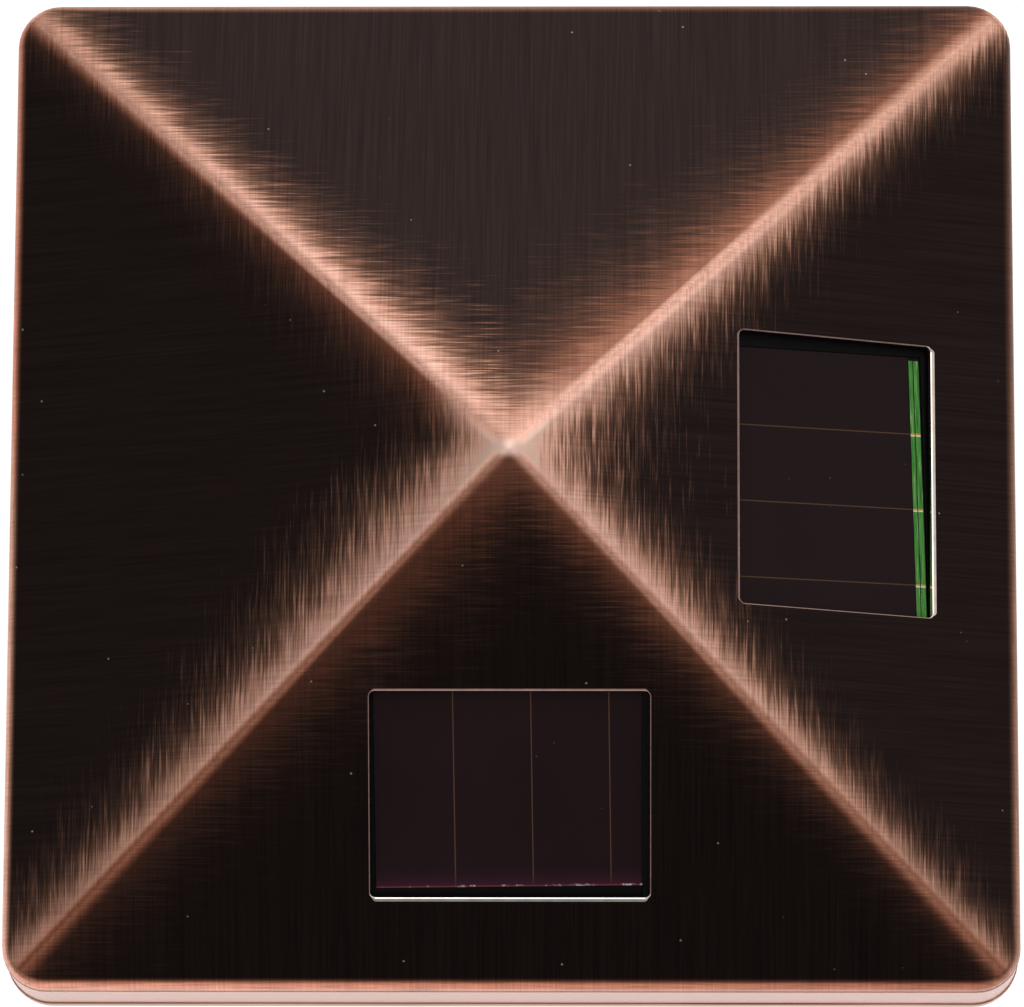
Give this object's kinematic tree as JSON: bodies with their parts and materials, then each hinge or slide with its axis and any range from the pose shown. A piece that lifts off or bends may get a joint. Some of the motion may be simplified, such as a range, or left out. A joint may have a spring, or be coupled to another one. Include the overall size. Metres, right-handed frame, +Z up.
{
  "type": "deck post cap light",
  "caption": "Solar cap light for a square deck post: a pyramid roof with cells in two faces over a clear light band, on a plate and collar that slip over the post.",
  "frame": {"origin": "on the centre line of the post, at the lower edge of the collar", "axes": "+Z up along the post, -Y towards the face with the first solar cell, +X towards the face with the second"},
  "size_m": [0.1276, 0.1276, 0.0667],
  "materials": {
    "patina_copper": "brushed copper plate with a dark brown patina, burnished bright on the hips and the rim",
    "brushed_copper": "brushed antique copper plate",
    "silicone": "cured silicone",
    "black_silicone": "satin black silicone",
    "cell_glass": "dark purple-brown film cell under glass",
    "wire_sleeve": "red and black insulation",
    "clear_acrylic": "clear moulded acrylic",
    "black_abs": "fine-textured black ABS",
    "seal_rubber": "matt black foam rubber",
    "screw_steel": "zinc-plated steel",
    "battery_sleeve": "plain green shrink sleeve",
    "nickel_plate": "nickel-plated spring steel",
    "board_laminate": "green solder mask",
    "chip_epoxy": "black moulded epoxy",
    "choke_lacquer": "green lacquer",
    "capacitor_sleeve": "plain blue sleeve",
    "lamp_epoxy": "clear epoxy dome",
    "switch_steel": "tinned steel frame",
    "white_nylon": "white nylon"
  },
  "bodies": {
    "fixture": {"roof_cap": "patina_copper", "roof_adhesive": "silicone", "cell_sealant_front": "black_silicone", "cell_sealant_right": "black_silicone", "solar_cell_front": "cell_glass", "solar_cell_right": "cell_glass", "cell_wires_front": "wire_sleeve", "cell_wires_right": "wire_sleeve", "lens_ring": "clear_acrylic", "inner_housing": "black_abs", "housing_seal": "seal_rubber", "bottom_cover": "black_abs", "cover_screws": "screw_steel", "hinge_pin": "screw_steel", "battery": "battery_sleeve", "contact_positive": "nickel_plate", "contact_negative": "nickel_plate", "contact_spring": "nickel_plate", "battery_wires": "wire_sleeve", "circuit_board": "board_laminate", "board_screws": "screw_steel", "driver_chip": "chip_epoxy", "inductor": "choke_lacquer", "capacitor": "capacitor_sleeve", "lamp_front": "lamp_epoxy", "lamp_right": "lamp_epoxy", "lamp_back": "lamp_epoxy", "lamp_left": "lamp_epoxy", "switch_body": "switch_steel", "switch_screws": "screw_steel", "switch_wires": "wire_sleeve", "base_plate": "brushed_copper", "base_screws": "screw_steel", "post_collar": "brushed_copper"},
    "door": {"battery_door": "black_abs"},
    "knob": {"switch_knob": "white_nylon"}
  },
  "joints": [
    {"name": "door_hinge", "type": "hinge", "parent": "fixture", "child": "door", "pos_m": [-0.00155, -0.0224, 0.0299], "axis": [1, 0, 0], "range_deg": [-100, 0]},
    {"name": "knob_slide", "type": "slide", "parent": "fixture", "child": "knob", "axis": [1, 0, 0], "range_m": [0, 0.0025]}
  ]
}
